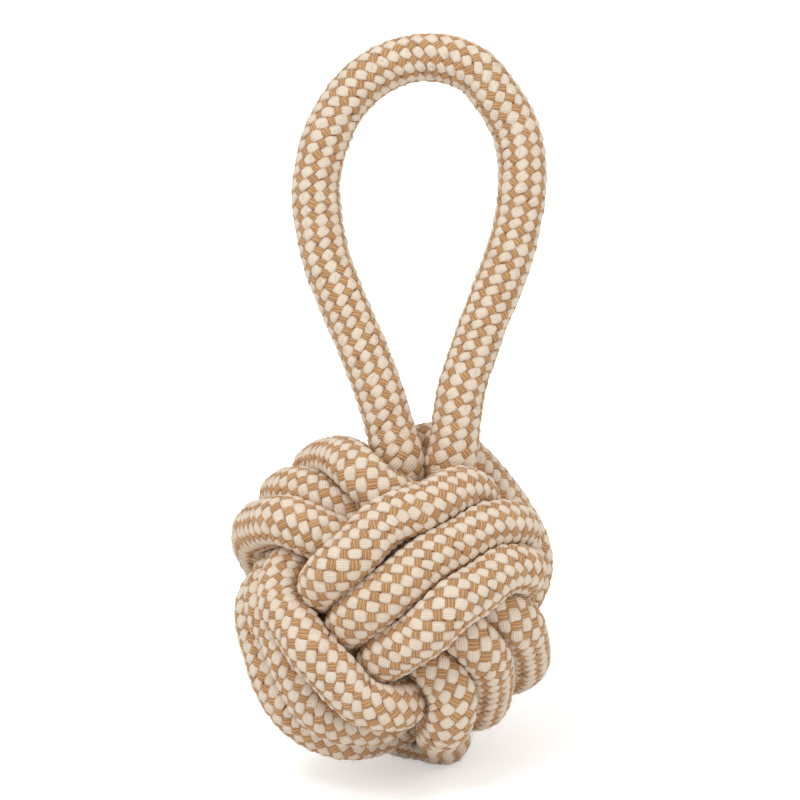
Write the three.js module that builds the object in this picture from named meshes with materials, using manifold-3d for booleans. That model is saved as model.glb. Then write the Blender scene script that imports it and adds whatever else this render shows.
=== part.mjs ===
// Rope dog toy: a three-turn monkey's fist tied round a core ball, with a loop handle of the same rope.
// Lengths are in millimetres and +Z is up. The toy stands on the knot, its origin under the middle of its box.
// The knot is three windings of three turns each, at right angles to each other. Each winding passes over
// one of the others and under the next, and the rope goes from each into the next at a corner of the knot.
import * as THREE from 'three'
import { mergeVertices } from 'three/addons/utils/BufferGeometryUtils.js'
import Module from 'manifold-3d'

const wasm = await Module()
wasm.setup()
const degrees = THREE.MathUtils.degToRad

// The rope, round where it is free and pressed narrower within the knot
const ropeDiameter = 16
const ropeSides = 12
const pressedHalfWidth = 6.4
const pressedHalfThickness = 5.3
const outerHalfThickness = 7.3
const seatGap = 0.35

// The knot, measured from the middle of the core ball
const turnsPerWinding = 3
const stepsPerTurn = 24
const leadSteps = 6
const bendWeight = 16
const tuckSteps = 8
const narrowedShare = 0.25
const lanePitch = 15.2
const outerReach = 43.5
const innerReach = 29
const outerSideDrop = 3
const innerSideDrop = 2.7
const straightEnd = 14.4
const legBend = 18

// The core ball, bored through for the two rope ends
const coreRadius = 22.3
const boreRadius = 7.5
const coreSides = 28
const coreRings = 14
const tailEndGap = 4

// How the laid rope settles: the spacing of the points on its middle line, how near its passes come
// to each other, and how hard it is pulled, straightened and pushed apart in each round
const pointSpacing = 3
const contactDistance = 14.8
const settleRounds = 1500
const tightening = 0.025
const tighteningRounds = 200
const pullStrength = 0.15
const stiffness = 0.22
const pushStrength = 0.175
const straightenStrength = 0.5
const sameStretchPoints = 9
const searchMargin = 5
const searchRounds = 20

// How far the middle line of the rope may stand out from the core's middle in the tightened knot
const knotReach = 51

// How the runs of rope that show lie in a picture of the toy from the front, in the picture's pixels.
// The eye looks level at the toy's upright axes, and pictureAim is the X and Z that it looks at.
// A run is the outer pass on one side of a turn, and runReach is how many laid points it has each way.
const pixelSize = 0.325
const pictureMiddle = [400, 400]
const pictureAim = [0.975, 64.35]
const eyeDistance = 1450
const shownDepth = 8
const drawStrength = 0.1
const runReach = 3
const shownRuns = [
  { winding: 0, turn: 0, outward: 1,
    places: [[322, 588], [334, 568], [365, 536], [402, 504], [432, 490], [458, 484], [474, 490]] },
  { winding: 0, turn: 1, outward: 1,
    places: [[342, 626], [371, 606], [403, 581], [431, 557], [462, 536], [489, 524], [506, 529]] },
  { winding: 0, turn: 2, outward: 1,
    places: [[376, 658], [404, 647], [435, 626], [464, 604], [493, 582], [517, 567], [530, 571]] },
  { winding: 1, turn: 0, outward: -1,
    places: [[287, 562], [291, 598], [305, 632], [325, 660], [350, 687], [391, 704], [416, 704]] },
  { winding: 1, turn: 1, outward: -1,
    places: [[275, 605], [286, 638], [298, 675], [316, 710], [337, 722], [365, 722], [390, 718]] },
  { winding: 1, turn: 2, outward: -1,
    places: [[267, 640], [273, 677], [286, 702], [302, 723], [325, 732], [345, 731]] },
  { winding: 1, turn: 0, outward: 1,
    places: [[484, 480], [501, 498], [515, 522], [524, 543], [528, 562], [527, 585]] },
  { winding: 2, turn: 0, outward: -1,
    places: [[322, 466], [332, 462], [342, 465], [352, 474], [366, 488]] },
  { winding: 2, turn: 1, outward: -1,
    places: [[298, 492], [310, 486], [322, 491], [333, 501], [346, 515]] },
  { winding: 2, turn: 2, outward: -1,
    places: [[262, 531], [272, 520], [285, 518], [296, 523], [307, 532], [316, 542]] },
  { winding: 2, turn: 0, outward: 1,
    places: [[514, 612], [522, 630], [526, 645], [527, 656], [524, 668]] },
  { winding: 2, turn: 1, outward: 1,
    places: [[478, 628], [484, 646], [488, 664], [490, 680], [487, 695], [478, 704]] },
  { winding: 2, turn: 2, outward: 1,
    places: [[443, 650], [450, 665], [453, 682], [454, 698], [450, 714], [440, 727]] }
]

// The handle, in the toy's upright axes from the middle of the core ball: X right, Y back and Z up
const handleSteps = 46
const rightRootTop = [20.5, -19.6, 67]
const rightRootBottom = [18.4, -18, 51]
const leftRootTop = [-5.7, -19.6, 67]
const leftRootBottom = [-0.8, -19, 51]
const leftEntry = [2.2, -17.4, 41.5]
const handleRoute = [
  [-10.1, -19.5, 78.7], [-14.6, -19.2, 89.1], [-19, -18.8, 99.5], [-22.9, -18.4, 109.9],
  [-25, -18, 120.3], [-26.2, -18, 130.7], [-24.9, -18, 141.1], [-21.6, -18, 151.5],
  [-15.3, -18, 161.9], [-3.9, -18, 171], [10.7, -18, 174.5], [24.7, -18, 170.3],
  [31.9, -18, 161.9], [37.9, -18, 151.5], [40.1, -18, 141.1], [40, -18, 130.7],
  [38.5, -18, 120.3], [35.8, -18.2, 109.9], [32, -18.4, 99.5], [27.8, -18.6, 89.1],
  [24.2, -18.8, 78.7]
]
// Where the right leg goes over the edge of the knot and the left leg turns in, in the knot's own axes
const rightEntryInKnot = [-35, -20, 27]
const leftTurnInKnot = [-18, -18, 19]

// How the knot is turned within the toy, and how the toy leans as it stands
const knotAttitude = new THREE.Euler(degrees(77), degrees(16.4), degrees(-135.3), 'XYZ')
const toyAttitude = new THREE.Euler(degrees(-15.5), degrees(7), 0, 'YXZ')
const footCut = ropeDiameter / 8

// A quarter of a turn as it is laid, from the middle of an inner pass to the middle of an outer one.
// Each point lies at a share of the inner reach along the pass and a share of the outer reach out.
const quarterShares = [[1, 0.26], [1.03, 0.53], [0.865, 0.8], [0.52, 0.95]]
// How much of the way to the next lane is gone at each of those points
const laneMoveShares = [1, 1, 0.45, 0]
// The last corner of the knot as shares of the outer reach, and the way in from there to the core
const tailCornerShares = [0.5, 0.76, -0.76]
const tailDepthShares = [1.8, 1.25, 1]
// The section of a pressed rope: corners as shares of its half width and half thickness
const pressedSection = [[1, 0], [0.56, 1], [-0.56, 1], [-1, 0], [-0.56, -1], [0.56, -1]]

const axisX = new THREE.Vector3(1, 0, 0)
const axisY = new THREE.Vector3(0, 1, 0)
const axisZ = new THREE.Vector3(0, 0, 1)
// The way in from the knot's corner under the handle to the corner opposite, along the core's bore
const boreAxis = new THREE.Vector3(1, 1, -1).normalize()

// Each winding's own axes: along its passes, across its lanes and out of the knot.
// startSide is the inner side where it starts, and laneStep is the way its lanes follow each other.
const windingAxes = [
  { run: axisX, lane: axisY, out: axisZ, startSide: -1, laneStep: 1 },
  { run: axisY, lane: axisZ, out: axisX.clone().negate(), startSide: 1, laneStep: -1 },
  { run: axisZ, lane: axisX, out: axisY, startSide: -1, laneStep: 1 }
]

const knotTurn = new THREE.Quaternion().setFromEuler(knotAttitude)

function toKnot (point) {
  return new THREE.Vector3(...point).applyQuaternion(knotTurn.clone().invert())
}

// A leg comes down into the knot from its root, and starts in the root's own direction.
function layLegStart (bottom, top) {
  const downward = toKnot(bottom).sub(toKnot(top)).setLength(pointSpacing)
  return [toKnot(bottom), toKnot(bottom).add(downward)]
}

// A point of a winding as it is laid, from shares of the reaches of its lane
function layPoint (axes, alongShare, outShare, lane) {
  const sideways = Math.abs(lane)
  const along = alongShare * (innerReach - innerSideDrop * sideways)
  const out = outShare * (outerReach - outerSideDrop * sideways)
  return new THREE.Vector3()
    .addScaledVector(axes.run, along)
    .addScaledVector(axes.lane, lane * lanePitch * axes.laneStep)
    .addScaledVector(axes.out, out)
}

// The laid points between an inner pass and an outer one, moving over towards nextLane if it differs
function layQuarter (axes, side, outward, lane, nextLane = lane) {
  return quarterShares.map(([alongShare, outShare], index) => {
    const here = THREE.MathUtils.lerp(lane, nextLane, laneMoveShares[index])
    return layPoint(axes, side * alongShare, outward * outShare, here)
  })
}

function layTurn (axes, turn) {
  const lane = turn - (turnsPerWinding - 1) / 2
  const near = axes.startSide
  const isLast = turn === turnsPerWinding - 1
  const lastQuarter = layQuarter(axes, near, 1, lane, isLast ? lane : lane + 1).reverse()
  return [
    layPoint(axes, near, 0, lane), ...layQuarter(axes, near, -1, lane),
    layPoint(axes, 0, -1, lane), ...layQuarter(axes, -near, -1, lane).reverse(),
    layPoint(axes, -near, 0, lane), ...layQuarter(axes, -near, 1, lane),
    layPoint(axes, 0, 1, lane), ...(isLast ? lastQuarter.slice(0, 1) : lastQuarter)
  ]
}

// A winding's laid points, after the way down to the middle of its first inner pass
function layWinding (axes) {
  const firstLane = -(turnsPerWinding - 1) / 2
  const wayIn = layQuarter(axes, axes.startSide, 1, firstLane).slice(0, 2).reverse()
  const points = []
  for (let turn = 0; turn < turnsPerWinding; turn++) points.push(...layTurn(axes, turn))
  return { wayIn, points }
}

function layTail () {
  return [
    new THREE.Vector3(...tailCornerShares).multiplyScalar(outerReach),
    ...tailDepthShares.map((share) => boreAxis.clone().multiplyScalar(share * coreRadius)),
    boreAxis.clone().multiplyScalar(tailEndGap / 2)
  ]
}

// A line of points at even spacing through the laid ones, and the numbers of its marked points
function spacedLine (laid, marks = []) {
  const curve = new THREE.CatmullRomCurve3(laid, false, 'centripetal')
  curve.arcLengthDivisions = (laid.length - 1) * stepsPerTurn
  const lengths = curve.getLengths()
  const total = lengths[lengths.length - 1]
  const count = Math.round(total / pointSpacing)
  const numbers = marks.map((mark) => Math.round(lengths[mark * stepsPerTurn] / total * count))
  return { points: curve.getSpacedPoints(count), numbers }
}

// The laid points from a winding's start to the middle of the outer pass on one side of a turn
function pointsToRun (turn, outward) {
  return (4 * turn + (outward < 0 ? 1 : 3)) * (quarterShares.length + 1)
}

// The line from the right leg round the knot to the tail, and the numbers of its points where the
// windings start and where the shown runs start and end
function layMainLine () {
  const laid = layLegStart(rightRootBottom, rightRootTop)
  laid.push(new THREE.Vector3(...rightEntryInKnot))
  const starts = []
  for (const axes of windingAxes) {
    const { wayIn, points } = layWinding(axes)
    laid.push(...wayIn)
    starts.push(laid.length)
    laid.push(...points)
  }
  laid.push(...layTail())
  const runMiddles = shownRuns.map((run) => starts[run.winding] + pointsToRun(run.turn, run.outward))
  const runEnds = runMiddles.flatMap((middle) => [middle - runReach, middle + runReach])
  const { points, numbers } = spacedLine(laid, [...starts, ...runEnds])
  return { points, numbers: numbers.slice(0, starts.length), runNumbers: numbers.slice(starts.length) }
}

function layLeftLine () {
  return spacedLine([
    ...layLegStart(leftRootBottom, leftRootTop), toKnot(leftEntry),
    new THREE.Vector3(...leftTurnInKnot), boreAxis.clone().multiplyScalar(-coreRadius),
    boreAxis.clone().multiplyScalar(-tailEndGap / 2)
  ])
}

const mainLine = layMainLine()
const leftLine = layLeftLine()
const rope = [...mainLine.points, ...leftLine.points]
const mainCount = mainLine.points.length

// The starts of the legs and the ends in the core stay where they are laid.
const corePoints = Math.round(coreRadius / pointSpacing)

function fromLineEnds (index) {
  if (index < mainCount) return [index, mainCount - 1 - index]
  return [index - mainCount, rope.length - 1 - index]
}

function isHeld (index) {
  const [fromTop, fromEnd] = fromLineEnds(index)
  return fromTop <= 1 || fromEnd <= corePoints
}

// The rope that goes in to the core isn't held off by it.
function isOutsideCore (index) {
  return index < mainCount && fromLineEnds(index)[1] > 2 * corePoints
}

function isSameStretch (one, other) {
  return (one < mainCount) === (other < mainCount) && Math.abs(one - other) <= sameStretchPoints
}

// How far a point is from the middle of its neighbours, which is how much the rope bends there
function bendAt (index) {
  const [fromTop, fromEnd] = fromLineEnds(index)
  if (fromTop === 0 || fromEnd === 0) return new THREE.Vector3()
  return rope[index - 1].clone().add(rope[index + 1]).multiplyScalar(0.5).sub(rope[index])
}

function pullTight (round, moves) {
  const wanted = pointSpacing * (1 - tightening * Math.min(round / tighteningRounds, 1))
  for (let index = 0; index < rope.length - 1; index++) {
    if (index === mainCount - 1) continue
    const along = rope[index + 1].clone().sub(rope[index])
    along.multiplyScalar(pullStrength * (1 - wanted / along.length()))
    moves[index].add(along)
    moves[index + 1].sub(along)
  }
}

function straighten (moves) {
  const bends = rope.map((point, index) => bendAt(index))
  rope.forEach((point, index) => {
    const [fromTop, fromEnd] = fromLineEnds(index)
    if (fromTop === 0 || fromEnd === 0) return
    const change = bends[index - 1].clone().add(bends[index + 1]).multiplyScalar(0.5).sub(bends[index])
    moves[index].addScaledVector(change, -stiffness)
  })
}

function applyMoves (moves) {
  rope.forEach((point, index) => {
    if (!isHeld(index)) point.add(moves[index])
  })
}

function noMoves () {
  return rope.map(() => new THREE.Vector3())
}

// One on the outside of the knot, zero where another pass lies over the rope
function outsideShare (point) {
  return THREE.MathUtils.smoothstep(point.length(), innerReach + contactDistance / 2, outerReach)
}

function nearPairs () {
  const reach = contactDistance + searchMargin
  const pairs = []
  for (let one = 0; one < rope.length; one++) {
    for (let other = one + 1; other < rope.length; other++) {
      if (isSameStretch(one, other)) continue
      if (rope[one].distanceToSquared(rope[other]) < reach ** 2) pairs.push([one, other])
    }
  }
  return pairs
}

function pushApart (pairs) {
  const moves = noMoves()
  const counts = rope.map(() => 0)
  for (const [one, other] of pairs) {
    const between = rope[other].clone().sub(rope[one])
    const distance = between.length()
    if (distance >= contactDistance) continue
    between.multiplyScalar(pushStrength * (contactDistance / distance - 1))
    moves[one].sub(between)
    moves[other].add(between)
    counts[one] += 1
    counts[other] += 1
  }
  moves.forEach((move, index) => move.divideScalar(Math.sqrt(Math.max(counts[index], 1))))
  applyMoves(moves)
}

function pushOffCore () {
  const nearest = coreRadius + contactDistance / 2
  rope.forEach((point, index) => {
    const distance = point.length()
    if (isHeld(index) || !isOutsideCore(index) || distance >= nearest) return
    point.multiplyScalar((1 + nearest / distance) / 2)
  })
}

// The tightened knot draws in what stands out too far.
function drawIn () {
  rope.forEach((point, index) => {
    const distance = point.length()
    if (index < mainLine.numbers[0] || !isOutsideCore(index) || distance <= knotReach) return
    point.multiplyScalar((1 + knotReach / distance) / 2)
  })
}

// Where a point of the knot lies in the picture, how far back it is, and how large a pixel is there
function inPicture (point) {
  const toy = point.clone().applyQuaternion(knotTurn)
  const pixel = pixelSize * (eyeDistance + toy.y) / eyeDistance
  const place = new THREE.Vector2(toy.x - pictureAim[0], pictureAim[1] - toy.z).divideScalar(pixel)
  return { place: place.add(new THREE.Vector2(...pictureMiddle)), depth: toy.y, pixel }
}

// The nearest spot on a run's line in the picture, or nothing where that is past an end of it
function nearestOnRun (places, place) {
  let nearest = null
  let least = Infinity
  for (let index = 1; index < places.length; index++) {
    const first = new THREE.Vector2(...places[index - 1])
    const along = new THREE.Vector2(...places[index]).sub(first)
    const share = place.clone().sub(first).dot(along) / along.lengthSq()
    const spot = first.addScaledVector(along, THREE.MathUtils.clamp(share, 0, 1))
    const distance = spot.distanceTo(place)
    if (distance >= least) continue
    least = distance
    const isPast = (index === 1 && share < 0) || (index === places.length - 1 && share > 1)
    nearest = isPast ? null : spot
  }
  return nearest
}

// A run that shows is drawn to its line in the picture, as far as it lies on the outside of the knot.
// The pull comes on and goes off slowly.
function drawShownRuns (round) {
  const toKnotTurn = knotTurn.clone().invert()
  const eased = Math.min(round, settleRounds - round, tighteningRounds) / tighteningRounds
  shownRuns.forEach(({ places }, run) => {
    for (let index = mainLine.runNumbers[2 * run]; index <= mainLine.runNumbers[2 * run + 1]; index++) {
      const { place, depth, pixel } = inPicture(rope[index])
      const spot = nearestOnRun(places, place)
      if (!spot || depth >= shownDepth) continue
      const step = spot.sub(place).multiplyScalar(pixel * drawStrength * eased * outsideShare(rope[index]))
      rope[index].add(new THREE.Vector3(step.x, 0, -step.y).applyQuaternion(toKnotTurn))
    }
  })
}

// The rope runs straight where one winding meets the next.
function keepJoinsStraight () {
  const reach = Math.ceil(straightEnd / pointSpacing)
  for (const join of mainLine.numbers) {
    const first = rope[join - reach]
    const last = rope[join + reach]
    for (let index = join - reach + 1; index < join + reach; index++) {
      const share = (index - join + reach) / (2 * reach)
      rope[index].lerp(first.clone().lerp(last, share), straightenStrength)
    }
  }
}

// Each leg turns into the knot in one round bend, from the direction in which it comes down.
function keepLegsRound () {
  const reach = Math.round(legBend / pointSpacing)
  for (const start of [0, mainCount]) {
    const [above, first] = rope.slice(start, start + 2)
    const [last, beyond] = rope.slice(start + 1 + reach, start + 3 + reach)
    const third = first.distanceTo(last) / 3
    const wayIn = first.clone().sub(above).setLength(third).add(first)
    const wayOut = last.clone().sub(beyond).setLength(third).add(last)
    const bend = new THREE.CubicBezierCurve3(first, wayIn, wayOut, last)
    for (let index = 1; index < reach; index++) {
      rope[start + 1 + index].lerp(bend.getPoint(index / reach), straightenStrength)
    }
  }
}

function settle () {
  let pairs = []
  for (let round = 0; round < settleRounds; round++) {
    if (round % searchRounds === 0) pairs = nearPairs()
    const moves = noMoves()
    pullTight(round, moves)
    straighten(moves)
    applyMoves(moves)
    keepJoinsStraight()
    keepLegsRound()
    drawShownRuns(round)
    drawIn()
    pushApart(pairs)
    pushApart(pairs)
    pushOffCore()
  }
}

settle()

// The stretch of the settled rope between two of its points, shortened by half a gap where asked
function stretchOf (first, last, gapAtStart, gapAtEnd) {
  const points = rope.slice(first, last + 1).map((point) => point.clone())
  const trim = (end, next) => end.add(next.clone().sub(end).setLength(seatGap / 2))
  if (gapAtStart) trim(points[0], points[1])
  if (gapAtEnd) trim(points[points.length - 1], points[points.length - 2])
  return points
}

// Rings are spread by the rope's length and by how much it turns, so that tight bends get more of them.
function spreadAlong (points, steps) {
  const travelled = [0]
  for (let index = 1; index < points.length; index++) {
    const step = points[index].clone().sub(points[index - 1])
    const before = index > 1 ? points[index - 1].clone().sub(points[index - 2]) : step
    travelled.push(travelled[index - 1] + step.length() + bendWeight * step.angleTo(before))
  }
  const total = travelled[travelled.length - 1]
  return Array.from({ length: steps + 1 }, (unused, ring) => {
    const wanted = Math.min(total * ring / steps, total)
    const after = Math.max(travelled.findIndex((value) => value >= wanted), 1)
    const share = (wanted - travelled[after - 1]) / (travelled[after] - travelled[after - 1])
    const forward = points[after].clone().sub(points[after - 1]).normalize()
    return { point: points[after - 1].clone().lerp(points[after], share), forward }
  })
}

// The rope's outward side is carried along it. Where it winds, that side turns to the outside of the knot.
function ringFrames (places, winds) {
  let outward = places[0].point.clone().normalize()
  return places.map(({ point, forward }) => {
    outward = outward.clone()
    if (winds) outward.add(point.clone().normalize())
    outward.addScaledVector(forward, -outward.dot(forward)).normalize()
    return { point, outward, side: outward.clone().cross(forward) }
  })
}

// A pressed rope is thicker where its outward side is free.
function pressedRing ({ point, outward, side }) {
  const freeHalfThickness = THREE.MathUtils.lerp(pressedHalfThickness, outerHalfThickness, outsideShare(point))
  return pressedSection.map(([sideShare, outwardShare]) => {
    const halfThickness = outwardShare > 0 ? freeHalfThickness : pressedHalfThickness
    return point.clone()
      .addScaledVector(side, sideShare * pressedHalfWidth)
      .addScaledVector(outward, outwardShare * halfThickness)
  })
}

// A tuck is round, and narrows from the free rope's width to the pressed one's as it goes in.
function tuckRing ({ point, outward, side }, share) {
  const narrowed = THREE.MathUtils.smoothstep(share, 0, narrowedShare)
  const radius = THREE.MathUtils.lerp(ropeDiameter / 2, pressedHalfWidth, narrowed)
  return Array.from({ length: ropeSides }, (unused, corner) => {
    const angle = 2 * Math.PI * corner / ropeSides
    return point.clone()
      .addScaledVector(side, radius * Math.cos(angle))
      .addScaledVector(outward, radius * Math.sin(angle))
  })
}

// One closed tube through rings of corners, with a flat cap at each end
function tubeThrough (rings) {
  const sides = rings[0].length
  const position = []
  rings.forEach((ring) => ring.forEach((corner) => position.push(...corner.toArray())))
  const index = []
  for (let ring = 0; ring < rings.length - 1; ring++) {
    for (let corner = 0; corner < sides; corner++) {
      const here = ring * sides + corner
      const beside = ring * sides + (corner + 1) % sides
      index.push(here, beside, beside + sides, here, beside + sides, here + sides)
    }
  }
  const last = (rings.length - 1) * sides
  for (let corner = 1; corner < sides - 1; corner++) {
    index.push(0, corner + 1, corner)
    index.push(last, last + corner, last + corner + 1)
  }
  return closedGeometry(position, index)
}

function closedGeometry (position, index) {
  const geometry = new THREE.BufferGeometry()
  geometry.setAttribute('position', new THREE.Float32BufferAttribute(position, 3))
  geometry.setIndex(index)
  geometry.computeVertexNormals()
  return geometry
}

function windingRings (first, last, endsInCore) {
  const points = stretchOf(first, last, true, !endsInCore)
  const frames = ringFrames(spreadAlong(points, turnsPerWinding * stepsPerTurn + leadSteps), true)
  return frames.map(pressedRing)
}

function tuckGeometry (first, last, gapAtEnd) {
  const frames = ringFrames(spreadAlong(stretchOf(first, last, true, gapAtEnd), tuckSteps), false)
  return tubeThrough(frames.map((frame, index) => tuckRing(frame, index / tuckSteps)))
}

// A round cord along a path, with its ends square
function cordGeometry (path, steps) {
  const section = new THREE.Shape()
  for (let corner = 0; corner < ropeSides; corner++) {
    const angle = 2 * Math.PI * corner / ropeSides
    const across = ropeDiameter / 2 * Math.cos(angle)
    const up = ropeDiameter / 2 * Math.sin(angle)
    if (corner === 0) section.moveTo(across, up)
    else section.lineTo(across, up)
  }
  section.closePath()
  return new THREE.ExtrudeGeometry(section, { steps, extrudePath: path, bevelEnabled: false })
}

function rootGeometry (bottom, top) {
  const from = new THREE.Vector3(...bottom)
  const to = new THREE.Vector3(...top)
  const gap = to.clone().sub(from).setLength(seatGap / 2)
  return cordGeometry(new THREE.LineCurve3(from.add(gap), to.sub(gap)), 2)
}

function handleGeometry () {
  const points = handleRoute.map((point) => new THREE.Vector3(...point))
  const legStart = (top, bottom) => [seatGap / 2, pointSpacing].map((distance) => {
    const upward = new THREE.Vector3(...top).sub(new THREE.Vector3(...bottom))
    return new THREE.Vector3(...top).add(upward.setLength(distance))
  })
  const leftStart = legStart(leftRootTop, leftRootBottom)
  const rightStart = legStart(rightRootTop, rightRootBottom)
  const path = new THREE.CatmullRomCurve3([...leftStart, ...points, ...rightStart.reverse()], false, 'centripetal')
  path.arcLengthDivisions = points.length * handleSteps
  return cordGeometry(path, handleSteps)
}

// The core ball is turned from a closed profile, so its bore goes right through.
function coreGeometry () {
  const rimAngle = Math.asin(boreRadius / coreRadius)
  const profile = [new THREE.Vector2(boreRadius, -coreRadius * Math.cos(rimAngle))]
  for (let ring = 1; ring < coreRings; ring++) {
    const angle = rimAngle + (Math.PI - 2 * rimAngle) * ring / coreRings
    profile.push(new THREE.Vector2(coreRadius * Math.sin(angle), -coreRadius * Math.cos(angle)))
  }
  profile.push(new THREE.Vector2(boreRadius, coreRadius * Math.cos(rimAngle)))
  profile.push(profile[0].clone())
  return new THREE.LatheGeometry(profile, coreSides)
}

function toManifold (geometry) {
  const bare = geometry.clone()
  bare.deleteAttribute('normal')
  bare.deleteAttribute('uv')
  const merged = mergeVertices(bare)
  return new wasm.Manifold(new wasm.Mesh({
    numProp: 3,
    vertProperties: new Float32Array(merged.attributes.position.array),
    triVerts: new Uint32Array(merged.index.array)
  }))
}

function fromManifold (solid) {
  const mesh = solid.getMesh()
  return closedGeometry(Array.from(mesh.vertProperties), Array.from(mesh.triVerts))
}

// The least gap between two rope surfaces, or of one to itself away from its own bends
function leastGap (ringsA, ringsB) {
  const sameTube = ringsA === ringsB
  const farApart = Math.round(stepsPerTurn / 4)
  const pointsA = surfacePoints(ringsA)
  const pointsB = surfacePoints(ringsB)
  let least = Infinity
  for (const a of pointsA) {
    for (const b of pointsB) {
      if (sameTube && Math.abs(a.ring - b.ring) < farApart) continue
      least = Math.min(least, a.point.distanceToSquared(b.point))
    }
  }
  return Math.sqrt(least)
}

function surfacePoints (rings) {
  const shares = [0, 0.25, 0.5, 0.75]
  const points = []
  for (let ring = 0; ring < rings.length - 1; ring++) {
    for (const along of shares) {
      const corners = rings[ring].map((corner, index) => corner.clone().lerp(rings[ring + 1][index], along))
      corners.forEach((corner, index) => {
        const next = corners[(index + 1) % corners.length]
        for (const across of shares) points.push({ ring: ring + along, point: corner.clone().lerp(next, across) })
      })
    }
  }
  return points
}

const creamRope = new THREE.MeshStandardMaterial({ color: 0xdcc7a8, roughness: 0.95, metalness: 0 })
const tanRope = new THREE.MeshStandardMaterial({ color: 0xcfae85, roughness: 0.95, metalness: 0 })
const rubber = new THREE.MeshStandardMaterial({ color: 0x6b6258, roughness: 0.8, metalness: 0 })

function addMesh (parent, name, geometry, material) {
  const mesh = new THREE.Mesh(geometry, material)
  mesh.name = name
  parent.add(mesh)
  return mesh
}

const object = new THREE.Group()
const toy = new THREE.Group()
const knot = new THREE.Group()
object.add(toy)
toy.add(knot)
toy.rotation.copy(toyAttitude)
knot.rotation.copy(knotAttitude)

const core = addMesh(knot, 'core_ball', coreGeometry(), rubber)
core.quaternion.setFromUnitVectors(axisY, boreAxis)

const [firstStart, secondStart, thirdStart] = mainLine.numbers
const windingRows = [
  windingRings(firstStart, secondStart, false),
  windingRings(secondStart, thirdStart, false),
  windingRings(thirdStart, mainCount - 1, true)
]
const windings = [
  addMesh(knot, 'first_winding', tubeThrough(windingRows[0]), creamRope),
  addMesh(knot, 'second_winding', tubeThrough(windingRows[1]), tanRope),
  addMesh(knot, 'third_winding', tubeThrough(windingRows[2]), creamRope)
]
addMesh(knot, 'right_leg_tuck', tuckGeometry(0, firstStart, true), creamRope)
addMesh(knot, 'left_leg_tuck', tuckGeometry(mainCount, rope.length - 1, false), creamRope)
addMesh(toy, 'right_leg_root', rootGeometry(rightRootBottom, rightRootTop), tanRope)
addMesh(toy, 'left_leg_root', rootGeometry(leftRootBottom, leftRootTop), tanRope)
addMesh(toy, 'handle_loop', handleGeometry(), creamRope)

// The knot is cut flat under its lowest pass, and the toy is moved so that this foot is on the floor.
object.updateMatrixWorld(true)
const whole = new THREE.Box3().setFromObject(object, true)
const floor = whole.min.z + footCut
const below = new THREE.BoxGeometry(4 * outerReach, 4 * outerReach, 2 * outerReach)
below.translate(0, 0, floor - outerReach)
for (const winding of windings) {
  const cutter = below.clone().applyMatrix4(winding.matrixWorld.clone().invert())
  winding.geometry = fromManifold(toManifold(winding.geometry).subtract(toManifold(cutter)))
}
object.position.set(-(whole.min.x + whole.max.x) / 2, -(whole.min.y + whole.max.y) / 2, -floor)

windings.forEach((winding, index) => {
  const own = leastGap(windingRows[index], windingRows[index])
  const next = leastGap(windingRows[index], windingRows[(index + 1) % windings.length])
  console.log(`${winding.name}: least gap to itself ${own.toFixed(2)} mm, to the next winding ${next.toFixed(2)} mm`)
})

export default object
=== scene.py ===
"""Rope dog toy: a monkey's fist of braided cotton rope round a core ball, with a loop of the same rope on top.

Lengths are in metres. The rope is one line of points from the core through the left leg, the handle, the
right leg and the three windings of the knot, and back into the core. It is braided from nine cream and nine
tan strands.
"""
import math

import bpy
import numpy as np
from mathutils import Matrix, Vector


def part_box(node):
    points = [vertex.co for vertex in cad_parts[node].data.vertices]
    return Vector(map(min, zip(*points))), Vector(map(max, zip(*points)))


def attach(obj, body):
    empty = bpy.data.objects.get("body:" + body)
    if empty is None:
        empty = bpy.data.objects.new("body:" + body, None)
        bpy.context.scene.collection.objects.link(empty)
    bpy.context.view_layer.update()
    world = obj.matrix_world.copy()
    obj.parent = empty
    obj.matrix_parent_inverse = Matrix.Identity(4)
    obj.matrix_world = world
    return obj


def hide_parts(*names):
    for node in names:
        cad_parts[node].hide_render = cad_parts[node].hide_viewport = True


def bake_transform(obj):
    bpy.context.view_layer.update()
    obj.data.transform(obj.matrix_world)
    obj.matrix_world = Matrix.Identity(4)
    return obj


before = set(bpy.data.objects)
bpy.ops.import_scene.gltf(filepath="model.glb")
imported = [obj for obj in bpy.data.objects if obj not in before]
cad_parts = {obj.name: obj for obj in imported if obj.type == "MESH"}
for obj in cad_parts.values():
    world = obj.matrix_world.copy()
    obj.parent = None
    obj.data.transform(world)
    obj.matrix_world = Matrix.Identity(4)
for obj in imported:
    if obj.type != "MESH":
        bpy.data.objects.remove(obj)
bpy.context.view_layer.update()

# The rope and its braid. A row is the way along the rope from one crossing of the strands to the next.
ROPE_DIAMETER = 0.016
ROPE_RADIUS = ROPE_DIAMETER / 2
KNOT_RADIUS = 0.0082
KNOT_WIDENING = 0.0006
WIDENING_BALANCE = 1.5
THICKNESS_CHANGE = 0.00012
THICKNESS_SPAN = 0.007
STRANDS = 9
HANDLE_ROW = 0.00192
KNOT_ROW = 0.00186
SAMPLES_PER_ROW = 3
TWIST_PER_METRE = 4.5
BODY_INSET = 0.00105
BODY_SIDES = 16

# How the rope is squeezed by what it touches: other passes, which lie further off along the rope than the pass
# separation, the core ball and its bore, and the floor. A side of the rope faces the core or the floor where
# its slant is at least the least one. From where the squeeze starts, its colour is painted darker, as painted
# shade where it presses.
SQUEEZE_GAP = -0.00045
PASS_SEPARATION = 0.022
NEIGHBOUR_SHARE = 2.6
CORE_MARGIN = 0.003
BORE_REACH = 0.0072
LEAST_SLANT = 0.05
LEAST_ROOM = 0.001
SQUEEZE_START = 0.0006
SQUEEZE_DEPTH = 0.0012
FLOOR_GAP = 0.0001

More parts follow.
